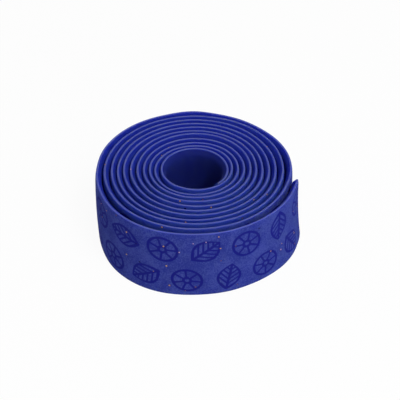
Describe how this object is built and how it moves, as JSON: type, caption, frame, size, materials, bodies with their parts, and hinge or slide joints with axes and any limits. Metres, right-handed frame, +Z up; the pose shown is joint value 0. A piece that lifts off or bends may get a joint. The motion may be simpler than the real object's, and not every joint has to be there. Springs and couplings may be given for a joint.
{
  "type": "handlebar tape roll",
  "caption": "Strip of soft foam handlebar wrap with thin tapered edges, wound into a tight spiral around an open core and stood on its edge, its outer end standing loose.",
  "frame": {"origin": "middle of the roll's footprint, on the surface that it stands on", "axes": "+Z up along the roll's axis; the strip winds outwards counter-clockwise seen from above, and its outer end is at +X, turned a little towards -Y"},
  "size_m": [0.0782, 0.0758, 0.03],
  "materials": {
    "blue_foam": "satin"
  },
  "bodies": {
    "root": {"tape_roll": "blue_foam"}
  },
  "joints": []
}
